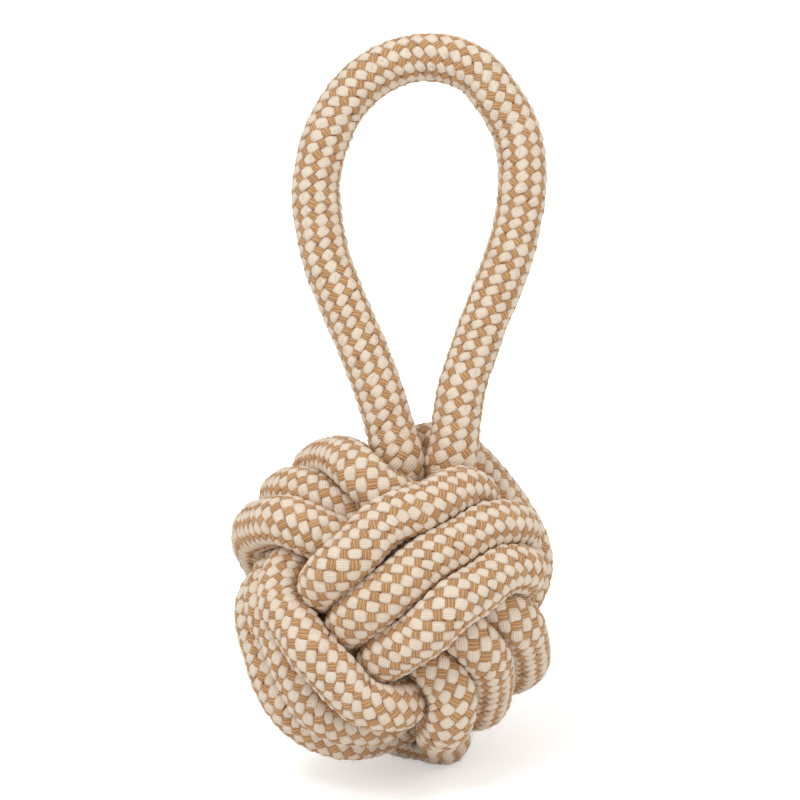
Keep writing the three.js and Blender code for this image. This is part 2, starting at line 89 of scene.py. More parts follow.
# The knot as it is laid, from the middle of the core ball
TURNS = 3
LANE_PITCH = 0.0152
OUTER_REACH = 0.0435
INNER_REACH = 0.029
OUTER_SIDE_DROP = 0.003
INNER_SIDE_DROP = 0.0027
STRAIGHT_END = 0.0144
LEG_BEND = 0.018
CORE_RADIUS = 0.0223
TAIL_END_GAP = 0.004

# How the laid rope settles, and how many times the finished line and its thickness are smoothed
FINE_STEPS = 24
SMOOTHING_ROUNDS = 3
THICKNESS_ROUNDS = 2
POINT_SPACING = 0.003
CONTACT_DISTANCE = 0.0148
SETTLE_ROUNDS = 1500
TIGHTENING = 0.025
TIGHTENING_ROUNDS = 200
PULL_STRENGTH = 0.15
STIFFNESS = 0.22
PUSH_STRENGTH = 0.175
STRAIGHTEN_STRENGTH = 0.5
SAME_STRETCH_POINTS = 9
SEARCH_MARGIN = 0.005
SEARCH_ROUNDS = 20

# How far the rope's line may stand out from the core's middle in the tightened knot
KNOT_REACH = 0.051

# The picture of the toy from the front. The eye looks level in the toy's upright axes, at an aim given by its
# X and Z. The pixel's size holds at the ball's middle.
PICTURE_PIXELS = 800
PIXEL_SIZE = 0.000325
PICTURE_AIM = np.array([0.000975, 0.06435])
EYE_DISTANCE = 1.45
SENSOR_WIDTH = 36

# How the runs of rope that show lie in the picture: winding, turn, side and pixels. A run is the outer pass on
# one side of a turn of a winding.
SHOWN_DEPTH = 0.008
DRAW_STRENGTH = 0.1
RUN_REACH = 3
SHOWN_RUNS = (
    (0, 0, 1, ((322, 588), (334, 568), (365, 536), (402, 504), (432, 490), (458, 484), (474, 490))),
    (0, 1, 1, ((342, 626), (371, 606), (403, 581), (431, 557), (462, 536), (489, 524), (506, 529))),
    (0, 2, 1, ((376, 658), (404, 647), (435, 626), (464, 604), (493, 582), (517, 567), (530, 571))),
    (1, 0, -1, ((287, 562), (291, 598), (305, 632), (325, 660), (350, 687), (391, 704), (416, 704))),
    (1, 1, -1, ((275, 605), (286, 638), (298, 675), (316, 710), (337, 722), (365, 722), (390, 718))),
    (1, 2, -1, ((267, 640), (273, 677), (286, 702), (302, 723), (325, 732), (345, 731))),
    (1, 0, 1, ((484, 480), (501, 498), (515, 522), (524, 543), (528, 562), (527, 585))),
    (2, 0, -1, ((322, 466), (332, 462), (342, 465), (352, 474), (366, 488))),
    (2, 1, -1, ((298, 492), (310, 486), (322, 491), (333, 501), (346, 515))),
    (2, 2, -1, ((262, 531), (272, 520), (285, 518), (296, 523), (307, 532), (316, 542))),
    (2, 0, 1, ((514, 612), (522, 630), (526, 645), (527, 656), (524, 668))),
    (2, 1, 1, ((478, 628), (484, 646), (488, 664), (490, 680), (487, 695), (478, 704))),
    (2, 2, 1, ((443, 650), (450, 665), (453, 682), (454, 698), (450, 714), (440, 727))),
)

# The handle, in the toy's upright axes from the middle of the core ball: X right, Y back and Z up
HANDLE_STEPS = 12
RIGHT_ROOT_TOP = (0.0205, -0.0196, 0.067)
RIGHT_ROOT_BOTTOM = (0.0184, -0.018, 0.051)
LEFT_ROOT_TOP = (-0.0057, -0.0196, 0.067)
LEFT_ROOT_BOTTOM = (-0.0008, -0.019, 0.051)
LEFT_ENTRY = (0.0022, -0.0174, 0.0415)
HANDLE_ROUTE = (
    (-0.0101, -0.0195, 0.0787), (-0.0146, -0.0192, 0.0891), (-0.019, -0.0188, 0.0995),
    (-0.0229, -0.0184, 0.1099), (-0.025, -0.018, 0.1203), (-0.0262, -0.018, 0.1307),
    (-0.0249, -0.018, 0.1411), (-0.0216, -0.018, 0.1515), (-0.0153, -0.018, 0.1619),
    (-0.0039, -0.018, 0.171), (0.0107, -0.018, 0.1745), (0.0247, -0.018, 0.1703),
    (0.0319, -0.018, 0.1619), (0.0379, -0.018, 0.1515), (0.0401, -0.018, 0.1411),
    (0.04, -0.018, 0.1307), (0.0385, -0.018, 0.1203), (0.0358, -0.0182, 0.1099),
    (0.032, -0.0184, 0.0995), (0.0278, -0.0186, 0.0891), (0.0242, -0.0188, 0.0787),
)
HANDLE_LINE = (LEFT_ROOT_BOTTOM, LEFT_ROOT_TOP, *HANDLE_ROUTE, RIGHT_ROOT_TOP, RIGHT_ROOT_BOTTOM)

# Where the legs lead inside the knot, in the knot's own axes
RIGHT_ENTRY_IN_KNOT = (-0.035, -0.020, 0.027)
LEFT_TURN_IN_KNOT = (-0.018, -0.018, 0.019)

# A quarter of a turn as it is laid: shares of the inner reach along a pass and of the outer reach out
QUARTER_SHARES = ((1, 0.26), (1.03, 0.53), (0.865, 0.8), (0.52, 0.95))
LANE_MOVE_SHARES = (1, 1, 0.45, 0)
TAIL_CORNER_SHARES = (0.5, 0.76, -0.76)
TAIL_DEPTH_SHARES = (1.8, 1.25, 1)

# In degrees, how the knot turns about X, Y and Z to the toy's upright axes, and how the toy leans on the floor
KNOT_TURNS = (77, 16.4, -135.3)
LEAN_RIGHT = 7
LEAN_BACK = -15.5

EX, EY, EZ = np.eye(3)
BORE_AXIS = np.array([1, 1, -1]) / math.sqrt(3)
# Each winding's own axes: along its passes, across its lanes and out of the knot, then the inner side
# where it starts and the way its lanes follow each other
WINDINGS = ((EX, EY, EZ, -1, 1), (EY, EZ, -EX, 1, -1), (EZ, EX, EY, -1, 1))


def turn_x(degrees):
    angle = math.radians(degrees)
    c, s = math.cos(angle), math.sin(angle)
    return np.array([[1, 0, 0], [0, c, -s], [0, s, c]])


def turn_y(degrees):
    angle = math.radians(degrees)
    c, s = math.cos(angle), math.sin(angle)
    return np.array([[c, 0, s], [0, 1, 0], [-s, 0, c]])


def turn_z(degrees):
    angle = math.radians(degrees)
    c, s = math.cos(angle), math.sin(angle)
    return np.array([[c, -s, 0], [s, c, 0], [0, 0, 1]])


KNOT_TO_TOY = turn_x(KNOT_TURNS[0]) @ turn_y(KNOT_TURNS[1]) @ turn_z(KNOT_TURNS[2])
TOY_TO_ROW = turn_y(LEAN_RIGHT) @ turn_x(LEAN_BACK)
core_low, core_high = (np.array(corner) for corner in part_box("core_ball"))
KNOT_MIDDLE = (core_low + core_high) / 2


def to_knot(point):
    return KNOT_TO_TOY.T @ np.array(point)


def knot_to_row(points):
    return np.asarray(points) @ (TOY_TO_ROW @ KNOT_TO_TOY).T + KNOT_MIDDLE


def toy_to_row(points):
    return np.asarray(points) @ TOY_TO_ROW.T + KNOT_MIDDLE


# The rope's line

def lay_point(axes, along_share, out_share, lane):
    run, across, out, _, lane_step = axes
    sideways = abs(lane)
    along = along_share * (INNER_REACH - INNER_SIDE_DROP * sideways)
    outward = out_share * (OUTER_REACH - OUTER_SIDE_DROP * sideways)
    return run * along + across * (lane * LANE_PITCH * lane_step) + out * outward


def lay_quarter(axes, side, outward, lane, next_lane=None):
    next_lane = lane if next_lane is None else next_lane
    return [
        lay_point(axes, side * along, outward * out, lane + (next_lane - lane) * moved)
        for (along, out), moved in zip(QUARTER_SHARES, LANE_MOVE_SHARES)
    ]


def lay_turn(axes, turn):
    lane = turn - (TURNS - 1) / 2
    near = axes[3]
    last = turn == TURNS - 1
    next_lane = lane if last else lane + 1
    last_quarter = lay_quarter(axes, near, 1, lane, next_lane)[::-1]
    return [
        lay_point(axes, near, 0, lane), *lay_quarter(axes, near, -1, lane),
        lay_point(axes, 0, -1, lane), *lay_quarter(axes, -near, -1, lane)[::-1],
        lay_point(axes, -near, 0, lane), *lay_quarter(axes, -near, 1, lane),
        lay_point(axes, 0, 1, lane), *(last_quarter[:1] if last else last_quarter),
    ]


def catmull(points, per_span):
    """A centripetal Catmull-Rom line through the points, with per_span steps between two of them."""
    points = np.asarray(points, float)
    padded = np.vstack([2 * points[0] - points[1], points, 2 * points[-1] - points[-2]])
    line = []
    for p0, p1, p2, p3 in zip(padded, padded[1:], padded[2:], padded[3:]):
        t1 = math.sqrt(np.linalg.norm(p1 - p0))
        t2 = t1 + math.sqrt(np.linalg.norm(p2 - p1))
        t3 = t2 + math.sqrt(np.linalg.norm(p3 - p2))
        t = np.linspace(t1, t2, per_span, endpoint=False)[:, None]
        a1 = (t1 - t) / t1 * p0 + t / t1 * p1
        a2 = (t2 - t) / (t2 - t1) * p1 + (t - t1) / (t2 - t1) * p2
        a3 = (t3 - t) / (t3 - t2) * p2 + (t - t2) / (t3 - t2) * p3
        b1 = (t2 - t) / t2 * a1 + t / t2 * a2
        b2 = (t3 - t) / (t3 - t1) * a2 + (t - t1) / (t3 - t1) * a3
        line.append((t2 - t) / (t2 - t1) * b1 + (t - t1) / (t2 - t1) * b2)
    line.append(points[-1:])
    return np.vstack(line)


def lengths_along(line):
    steps = np.linalg.norm(np.diff(line, axis=0), axis=1)
    return np.concatenate([[0], np.cumsum(steps)])


def points_at(line, travelled, wanted):
    return np.stack([np.interp(wanted, travelled, line[:, k]) for k in range(3)], axis=1)


def spaced_line(laid, marks=()):
    """Points at an even spacing along the laid line, and the numbers of those nearest to the marked ones."""
    fine = catmull(laid, FINE_STEPS)
    travelled = lengths_along(fine)
    count = round(travelled[-1] / POINT_SPACING)
    numbers = [round(travelled[mark * FINE_STEPS] / travelled[-1] * count) for mark in marks]
    return points_at(fine, travelled, np.linspace(0, travelled[-1], count + 1)), numbers


def leg_start(bottom, top):
    """Where a leg's line goes on below its root: the root's bottom and one point straight down from it."""
    downward = to_knot(bottom) - to_knot(top)
    downward *= POINT_SPACING / np.linalg.norm(downward)
    return [to_knot(bottom), to_knot(bottom) + downward]


def points_to_run(turn, outward):
    """The laid points from a winding's start to the middle of the outer pass on one side of a turn."""
    return (4 * turn + (1 if outward < 0 else 3)) * (len(QUARTER_SHARES) + 1)


def lay_main_line():
    """The line from the right leg round the knot to the tail, and the numbers of its points where the
    windings start and where the shown runs start and end.
    """
    laid = leg_start(RIGHT_ROOT_BOTTOM, RIGHT_ROOT_TOP) + [np.array(RIGHT_ENTRY_IN_KNOT)]
    starts = []
    for axes in WINDINGS:
        laid += lay_quarter(axes, axes[3], 1, -(TURNS - 1) / 2)[:2][::-1]
        starts.append(len(laid))
        for turn in range(TURNS):
            laid += lay_turn(axes, turn)
    laid.append(np.array(TAIL_CORNER_SHARES) * OUTER_REACH)
    laid += [BORE_AXIS * (share * CORE_RADIUS) for share in TAIL_DEPTH_SHARES]
    laid.append(BORE_AXIS * (TAIL_END_GAP / 2))
    run_ends = []
    for winding, turn, outward, _ in SHOWN_RUNS:
        middle = starts[winding] + points_to_run(turn, outward)
        run_ends += [middle - RUN_REACH, middle + RUN_REACH]
    points, numbers = spaced_line(laid, starts + run_ends)
    return points, numbers[:len(starts)], numbers[len(starts):]


def lay_left_line():
    laid = leg_start(LEFT_ROOT_BOTTOM, LEFT_ROOT_TOP) + [
        to_knot(LEFT_ENTRY), np.array(LEFT_TURN_IN_KNOT), -BORE_AXIS * CORE_RADIUS,
        -BORE_AXIS * (TAIL_END_GAP / 2),
    ]
    return spaced_line(laid)[0]


def eased(values):
    """Values from zero to one with a smooth start and end, and those past them cut off."""
    share = np.clip(values, 0, 1)
    return share * share * (3 - 2 * share)


def outside_share(distance):
    """One on the outside of the knot, zero where another pass lies over the rope."""
    covered = INNER_REACH + CONTACT_DISTANCE / 2
    return eased((distance - covered) / (OUTER_REACH - covered))


def nearest_on_run(places, points):
    """The nearest spots on a run's line in the picture, and whether they are past an end of it."""
    least = np.full(len(points), np.inf)
    nearest = np.zeros_like(points)
    past = np.zeros(len(points), bool)
    for number, (first, second) in enumerate(zip(places, places[1:])):
        along = second - first
        share = (points - first) @ along / (along @ along)
        spots = first + np.clip(share, 0, 1)[:, None] * along
        distance = np.linalg.norm(spots - points, axis=1)
        nearer = distance < least
        least[nearer], nearest[nearer] = distance[nearer], spots[nearer]
        ends = ((number == 0) & (share < 0)) | ((number == len(places) - 2) & (share > 1))
        past[nearer] = ends[nearer]
    return nearest, past


def draw_to_run(points, places, strength):
    """Draws points of the knot towards a run's line in the picture, as far as they lie on its outside."""
    toy = points @ KNOT_TO_TOY.T
    pixel = PIXEL_SIZE * (EYE_DISTANCE + toy[:, 1:2]) / EYE_DISTANCE
    seen = PICTURE_PIXELS / 2 + np.array([1, -1]) * (toy[:, [0, 2]] - PICTURE_AIM) / pixel
    spots, past = nearest_on_run(np.array(places, float), seen)
    share = strength * outside_share(np.linalg.norm(points, axis=1))
    share[past | (toy[:, 1] >= SHOWN_DEPTH)] = 0
    step = (spots - seen) * pixel * share[:, None]
    moves = np.stack([step[:, 0], np.zeros(len(step)), -step[:, 1]], axis=1)
    return points + moves @ KNOT_TO_TOY


def round_bend(above, first, last, beyond, steps):
    """The points between first and last on a curve that goes on from above and on to beyond."""
    third = np.linalg.norm(last - first) / 3
    way_in = first + (first - above) * (third / np.linalg.norm(first - above))
    way_out = last + (last - beyond) * (third / np.linalg.norm(last - beyond))
    share = np.arange(1, steps)[:, None] / steps
    rest = 1 - share
    start = rest ** 3 * first + 3 * rest ** 2 * share * way_in
    return start + 3 * rest * share ** 2 * way_out + share ** 3 * last


class Settling:
    """The laid rope while it is pulled tight: its points, and which of them may move how."""

    def __init__(self, main, left, joins, run_numbers):
        self.rope = np.vstack([main, left])
        self.count, self.total = len(main), len(main) + len(left)
        self.joins = joins
        self.run_numbers = run_numbers
        number = np.arange(self.total)
        self.left_side = number >= self.count
        from_top = np.where(self.left_side, number - self.count, number)
        from_end = np.where(self.left_side, self.total - 1 - number, self.count - 1 - number)
        in_core = round(CORE_RADIUS / POINT_SPACING)
        self.held = (from_top <= 1) | (from_end <= in_core)
        self.off_core = ~self.left_side & (from_end > 2 * in_core) & ~self.held
        self.drawn_in = self.off_core & (number >= joins[0])
        self.inner = number[(from_top > 0) & (from_end > 0)]
        self.spans = number[:-1][number[:-1] != self.count - 1]

    def apply(self, moves):
        self.rope[~self.held] += moves[~self.held]

    def near_pairs(self):
        apart = np.linalg.norm(self.rope[:, None] - self.rope[None], axis=2)
        one, other = np.nonzero(np.triu(apart < CONTACT_DISTANCE + SEARCH_MARGIN, 1))
        same = (self.left_side[one] == self.left_side[other]) & (other - one <= SAME_STRETCH_POINTS)
        return one[~same], other[~same]

    def push_apart(self, one, other):
        between = self.rope[other] - self.rope[one]
        apart = np.linalg.norm(between, axis=1)
        close = apart < CONTACT_DISTANCE
        a, b = one[close], other[close]
        push = between[close] * (PUSH_STRENGTH * (CONTACT_DISTANCE / apart[close] - 1))[:, None]
        moves = np.zeros_like(self.rope)
        np.add.at(moves, a, -push)
        np.add.at(moves, b, push)
        counts = np.bincount(a, minlength=self.total) + np.bincount(b, minlength=self.total)
        self.apply(moves / np.sqrt(np.maximum(counts, 1))[:, None])

    def pull_and_unbend(self, spacing):
        """Brings neighbouring points to the wanted spacing and evens out the line's bends."""
        rope, spans, at = self.rope, self.spans, self.inner
        moves = np.zeros_like(rope)
        along = rope[spans + 1] - rope[spans]
        along *= (PULL_STRENGTH * (1 - spacing / np.linalg.norm(along, axis=1)))[:, None]
        moves[spans] += along
        moves[spans + 1] -= along
        bend = np.zeros_like(rope)
        bend[at] = (rope[at - 1] + rope[at + 1]) / 2 - rope[at]
        moves[at] -= STIFFNESS * ((bend[at - 1] + bend[at + 1]) / 2 - bend[at])
        self.apply(moves)

    def straighten(self):
        """Straightens the line where the stretches meet, and rounds it where the legs go into the knot."""
        rope = self.rope
        reach = math.ceil(STRAIGHT_END / POINT_SPACING)
        for join in self.joins:
            share = np.linspace(0, 1, 2 * reach + 1)[1:-1, None]
            straight = rope[join - reach] * (1 - share) + rope[join + reach] * share
            middle = slice(join - reach + 1, join + reach)
            rope[middle] += (straight - rope[middle]) * STRAIGHTEN_STRENGTH
        bend_steps = round(LEG_BEND / POINT_SPACING)
        for start in (0, self.count):
            last = start + 1 + bend_steps
            bend = round_bend(rope[start], rope[start + 1], rope[last], rope[last + 1], bend_steps)
            rope[start + 2:last] += (bend - rope[start + 2:last]) * STRAIGHTEN_STRENGTH

    def draw_runs(self, strength):
        firsts, lasts = self.run_numbers[::2], self.run_numbers[1::2]
        for (_, _, _, places), first, last in zip(SHOWN_RUNS, firsts, lasts):
            run = slice(first, last + 1)
            self.rope[run] = draw_to_run(self.rope[run], places, strength)

    def keep_in_reach(self):
        distance = np.linalg.norm(self.rope, axis=1)
        far = self.drawn_in & (distance > KNOT_REACH)
        self.rope[far] *= ((1 + KNOT_REACH / distance[far]) / 2)[:, None]

    def keep_off_core(self):
        nearest = CORE_RADIUS + CONTACT_DISTANCE / 2
        distance = np.linalg.norm(self.rope, axis=1)
        inside = self.off_core & (distance < nearest)
        self.rope[inside] *= ((1 + nearest / distance[inside]) / 2)[:, None]

    def run(self):
        """Settles the rope in small rounds. The runs are drawn gently at the start and at the end."""
        for done in range(SETTLE_ROUNDS):
            if done % SEARCH_ROUNDS == 0:
                one, other = self.near_pairs()
            self.pull_and_unbend(POINT_SPACING * (1 - TIGHTENING * min(done / TIGHTENING_ROUNDS, 1)))
            self.straighten()
            strength_share = min(done, SETTLE_ROUNDS - done, TIGHTENING_ROUNDS) / TIGHTENING_ROUNDS
            self.draw_runs(DRAW_STRENGTH * strength_share)
            self.keep_in_reach()
            self.push_apart(one, other)
            self.push_apart(one, other)
            self.keep_off_core()
        return self.rope[:self.count], self.rope[self.count:]


laid_line, joins, run_numbers = lay_main_line()
main_line, left_line = Settling(laid_line, lay_left_line(), joins, run_numbers).run()


# The whole rope as one line, from its left end in the core to its right end

SAMPLE = 0.0015
TURN_ANGLES = 32
ROOT_CHANGE_POINTS = 14


def smoothed(values, rounds):
    for _ in range(rounds):
        middle = (values[:-2] + 2 * values[1:-1] + values[2:]) / 4
        values = np.concatenate([values[:1], middle, values[-1:]])
    return values


def whole_rope():
    """Points at an even spacing, and the numbers of the five places where the stretches meet."""
    handle = toy_to_row(catmull(HANDLE_LINE, HANDLE_STEPS))
    left = knot_to_row(left_line[::-1])
    main = knot_to_row(main_line)
    line = np.vstack([left[:-1], handle, main[1:]])
    travelled = lengths_along(line)
    start = len(left) - 1
    end = start + len(handle) - 1
    places = [travelled[start], travelled[end]] + [travelled[end + join] for join in joins]
    count = round(travelled[-1] / SAMPLE)
    spaced = points_at(line, travelled, np.linspace(0, travelled[-1], count + 1))
    return smoothed(spaced, SMOOTHING_ROUNDS), np.array(places) * (count / travelled[-1])


def unit(vectors):
    return vectors / np.linalg.norm(vectors, axis=-1, keepdims=True)


def turning_frames(line):
    """Two directions square to the line at each point, that turn as little as they can along it."""
    forward = unit(np.gradient(line, axis=0))
    first = np.cross(forward[0], EX)
    side = [first / np.linalg.norm(first)]
    for here in forward[1:]:
        moved = side[-1] - here * (side[-1] @ here)
        side.append(moved / np.linalg.norm(moved))
    side = np.array(side)
    return forward, side, np.cross(forward, side)


rope_line, meetings = whole_rope()
point_numbers = np.arange(len(rope_line))
along_rope = point_numbers * SAMPLE
forward, side, other_side = turning_frames(rope_line)


def in_knot_share():
    """One in the knot, zero on the handle, with a smooth change about the end of each leg."""
    into_left = (meetings[0] - point_numbers) / ROOT_CHANGE_POINTS + 0.5
    into_right = (point_numbers - meetings[1]) / ROOT_CHANGE_POINTS + 0.5
    return eased(np.maximum(into_left, into_right))


knot_share = in_knot_share()
chance = np.random.default_rng(11)


def random_changes(count):
    """Random numbers about zero, none of them larger than two."""
    return chance.normal(size=count).clip(-2, 2)


def uneven_thickness():
    """A small, slow change of the rope's thickness along it."""
    count = int(along_rope[-1] / THICKNESS_SPAN) + 2
    return THICKNESS_CHANGE * np.interp(along_rope / THICKNESS_SPAN, np.arange(count), random_changes(count))


# How far the rope reaches from its line

def ring_directions(angles, first, second):
    """The direction out of the rope's line at each point and angle, from two directions square to the line."""
    return np.cos(angles)[None, :, None] * first[:, None] + np.sin(angles)[None, :, None] * second[:, None]


def squeeze_by_passes(reach, out):
    """Cuts the reach back at the plane halfway to each other pass of the rope nearby."""
    apart = np.linalg.norm(rope_line[:, None] - rope_line[None], axis=2)
    far_along = np.abs(point_numbers[:, None] - point_numbers[None]) * SAMPLE > PASS_SEPARATION
    one, other = np.nonzero((apart < NEIGHBOUR_SHARE * KNOT_RADIUS) & far_along)
    towards = np.einsum("pak,pk->pa", out[one], rope_line[other] - rope_line[one])
    half = (apart[one, other] ** 2 / 2)[:, None]
    tiny = 1e-6
    limit = np.where(towards > tiny, half / np.maximum(towards, tiny), 1)
    squeezed = reach.copy()
    np.minimum.at(squeezed, one, limit - SQUEEZE_GAP)
    return squeezed


def squeeze_by_core(reach, inward, distance):
    """Cuts the reach back at the core ball, and to the bore's size inside it."""
    room = np.maximum(distance - CORE_RADIUS, LEAST_ROOM)[:, None]
    in_bore = distance < CORE_RADIUS + CORE_MARGIN
    outside = (distance > CORE_RADIUS + CORE_MARGIN)[:, None] & (inward > LEAST_SLANT)
    reach = np.where(outside, np.minimum(reach, room / np.maximum(inward, LEAST_SLANT)), reach)
    reach[in_bore] = np.minimum(reach[in_bore], BORE_REACH)
    return reach


def squeeze_by_floor(reach, down):
    """Cuts the reach back at the floor, where the rope's side faces down to it."""
    floor = rope_line[:, None, 2] / np.maximum(down, LEAST_SLANT)
    return np.where(down > LEAST_SLANT, np.minimum(reach, floor), reach)


def rope_reach():
    """How far the rope reaches from its line at each point and angle, where it is squeezed by what it touches,
    and how far it would reach if nothing squeezed it.
    """
    out = ring_directions(np.arange(TURN_ANGLES) * (2 * math.pi / TURN_ANGLES), side, other_side)
    from_middle = rope_line - KNOT_MIDDLE
    distance = np.linalg.norm(from_middle, axis=1)
    inward = -np.einsum("nak,nk->na", out, unit(from_middle))
    free = ROPE_RADIUS + (KNOT_RADIUS - ROPE_RADIUS) * knot_share
    free = free + smoothed(uneven_thickness(), THICKNESS_ROUNDS)
    widening = KNOT_WIDENING * knot_share[:, None] * (1 - WIDENING_BALANCE * inward ** 2)
    unsqueezed = free[:, None] + widening
    reach = squeeze_by_passes(unsqueezed, out)
    reach = squeeze_by_core(reach, inward, distance)
    reach = squeeze_by_floor(reach, -out[..., 2])
    reach = np.minimum(reach, np.minimum(np.roll(reach, 1, axis=1), np.roll(reach, -1, axis=1)))
    for _ in range(SMOOTHING_ROUNDS):
        reach = (np.roll(reach, 1, axis=1) + 2 * reach + np.roll(reach, -1, axis=1)) / 4
    return smoothed(reach, SMOOTHING_ROUNDS), unsqueezed


reach_field, unsqueezed_field = rope_reach()


# The braid is sampled a few times in each of its rows

def rope_phase():
    """Rows of the braid counted along the rope."""
    row = HANDLE_ROW + (KNOT_ROW - HANDLE_ROW) * knot_share
    return np.concatenate([[0], np.cumsum(SAMPLE / ((row[1:] + row[:-1]) / 2))])


row_at_point = rope_phase()
ROWS = int(row_at_point[-1])
rows = np.arange(ROWS * SAMPLES_PER_ROW + 1) / SAMPLES_PER_ROW
number_at_row = np.interp(rows, row_at_point, point_numbers)
meeting_rows = np.rint(np.interp(meetings, point_numbers, row_at_point)).astype(int) * SAMPLES_PER_ROW


def at_rows(values):
    """What is known at the rope's points, at the samples of the braid."""
    low = np.minimum(number_at_row.astype(int), len(values) - 2)
    share = (number_at_row - low).reshape((-1,) + (1,) * (values.ndim - 1))
    return values[low] * (1 - share) + values[low + 1] * share


line_at_rows = at_rows(rope_line)
side_at_rows = unit(at_rows(side))
other_at_rows = unit(at_rows(other_side))
forward_at_rows = unit(at_rows(forward))
twist_at_rows = TWIST_PER_METRE * at_rows(along_rope)
reach_at_rows = at_rows(reach_field)
# How far each place is squeezed in, as a share: it paints shade into the crevices where the rope presses, and
# places the loose fibres.
squeezed_in = unsqueezed_field - reach_field
squeeze_at_rows = at_rows(np.clip((squeezed_in - SQUEEZE_START) / SQUEEZE_DEPTH, 0, 1))


def at_angle(field, angle):
    """A field of samples and angles at one angle for each sample."""
    place = (angle / (2 * math.pi) * TURN_ANGLES) % TURN_ANGLES
    low = place.astype(int) % TURN_ANGLES
    share = place - np.floor(place)
    numbers = np.arange(len(rows))
    return field[numbers, low] * (1 - share) + field[numbers, (low + 1) % TURN_ANGLES] * share


# The strands

# A strand's way round the rope, the crossing at which it first lies over, its half thickness, how far out its
# middle lies, how much further it lies where it is over, its sides, and its width as a share of its room
CREAM = {
    "way": 1, "over_at": 0, "half_thickness": 0.00074, "rest": 0.00012, "lift": 0.0004, "sides": 10,
    "over_width_share": 1.14, "under_width_share": 0.92,
}
TAN = {
    "way": -1, "over_at": 1, "half_thickness": 0.00062, "rest": -0.00004, "lift": 0.00043, "sides": 8,
    "over_width_share": 1.02, "under_width_share": 0.88,
}
MIDDLE_DEPTH = CREAM["half_thickness"] + CREAM["rest"] + CREAM["lift"]
FULLNESS = 0.75
STEEPNESS = (2 - FULLNESS) / FULLNESS
THINNING_SHARE = 0.08
WIDENING_SPEED = 0.7
WIDTH_CHANGE = 0.075
HEIGHT_CHANGE = 0.0001
ANGLE_CHANGE = 0.03

# How light a place on a strand is painted, as painted shade: its share in the middle, and what lying over and
# facing out add to it
PAINTED_LIGHT_SHARE = 0.5
PAINTED_LIGHT_OVER_SHARE = 0.2
PAINTED_LIGHT_OUT_SHARE = 0.4


def uneven():
    """A small random change along one strand, from one crossing to the next."""
    return np.interp(rows, np.arange(ROWS + 1), random_changes(ROWS + 1))


def powered(values, power):
    """Values raised to a power, with their signs kept."""
    return np.sign(values) * np.abs(values) ** power


def strand_half_width(kind, out, middle, over):
    """Half a strand's width at each sample, from the room between it and the next strand that goes its way."""
    step = np.linalg.norm(np.gradient(line_at_rows + out * middle[:, None], axis=0), axis=1)
    around = middle * (math.pi / STRANDS / SAMPLES_PER_ROW)
    tiny = 1e-12
    along = np.sqrt(np.maximum(step ** 2 - around ** 2, tiny))
    room = 2 * math.pi * middle / STRANDS * along / np.sqrt(along ** 2 + around ** 2)
    under_width, over_width = kind["under_width_share"], kind["over_width_share"]
    share = under_width + (over_width - under_width) * eased(0.5 + WIDENING_SPEED * over)
    return room / 2 * share * (1 + WIDTH_CHANGE * uneven())


def strand_grid(kind, number):
    """One strand as a tube of rings: its places, its normals, the length along it and how light it is painted,
    as painted shade.
    """
    angle = kind["way"] * math.pi * rows / STRANDS + 2 * math.pi * number / STRANDS
    angle = angle + twist_at_rows + ANGLE_CHANGE * uneven()
    over = np.cos(math.pi * (rows + kind["over_at"]))
    out = np.cos(angle)[:, None] * side_at_rows + np.sin(angle)[:, None] * other_at_rows
    middle = at_angle(reach_at_rows, angle) - MIDDLE_DEPTH
    radius = middle + kind["rest"] + kind["lift"] * over + HEIGHT_CHANGE * uneven()
    places = line_at_rows + out * radius[:, None]
    ahead = unit(np.gradient(places, axis=0))
    across = unit(np.cross(out, ahead))
    up = np.cross(ahead, across)

    half_width = strand_half_width(kind, out, middle, over)
    half_height = kind["half_thickness"] * (1 - THINNING_SHARE + THINNING_SHARE * over)
    turn = (np.arange(kind["sides"]) + 0.5) * (2 * math.pi / kind["sides"])
    sideways, upward = powered(np.cos(turn), FULLNESS), powered(np.sin(turn), FULLNESS)
    wide, high = half_width[:, None] * sideways, half_height[:, None] * upward
    grid = places[:, None] + across[:, None] * wide[..., None] + up[:, None] * high[..., None]
    grid[..., 2] = np.maximum(grid[..., 2], FLOOR_GAP)

    wide_slope = powered(sideways, STEEPNESS) / half_width[:, None]
    high_slope = powered(upward, STEEPNESS) / kind["half_thickness"]
    normal = across[:, None] * wide_slope[..., None] + up[:, None] * high_slope[:, None]
    # Painted shade: lighter where the strand lies over and faces out, darker where it lies under or faces in,
    # and darker again where it is squeezed.
    painted_light = PAINTED_LIGHT_SHARE + PAINTED_LIGHT_OVER_SHARE * over[:, None] + PAINTED_LIGHT_OUT_SHARE * np.sin(turn)
    painted_light = np.clip(painted_light, 0, 1) * (1 - at_angle(squeeze_at_rows, angle))[:, None]
    return grid, unit(normal), lengths_along(places), painted_light


def body_grid():
    """The inner body of the rope under the strands, with no painted light: its dark brown is painted shade in
    the gaps between them.
    """
    angles = np.arange(BODY_SIDES) * (2 * math.pi / BODY_SIDES)
    reach = np.stack([at_angle(reach_at_rows, np.full(len(rows), angle)) for angle in angles], axis=1)
    out = ring_directions(angles, side_at_rows, other_at_rows)
    grid = line_at_rows[:, None] + out * (reach - BODY_INSET)[..., None]
    return grid, out, lengths_along(line_at_rows), np.zeros_like(reach)


# Loose fibres. A few places are tried for each, and it stands where the squeeze is nearest to the fuzz squeeze.
# The lengths, heights and hump shares are each a least and a most.
FUZZ_PER_ROW = 10
FUZZ_TRIES = 4
FUZZ_SQUEEZE = 0.35
FUZZ_POINTS = 5
FUZZ_SIDES = 3
FUZZ_RADIUS = 0.00005
FUZZ_LENGTHS = (0.0015, 0.0042)
FUZZ_HEIGHTS = (0.0001, 0.0007)
FUZZ_ROOT_DEPTH = 0.0006
FUZZ_SWAY_SHARE = 0.35
FUZZ_HUMP_SHARES = (0.6, 1)
FUZZ_TAPER_SHARE = 0.6
FUZZ_PAINTED_LIGHT = 0.8


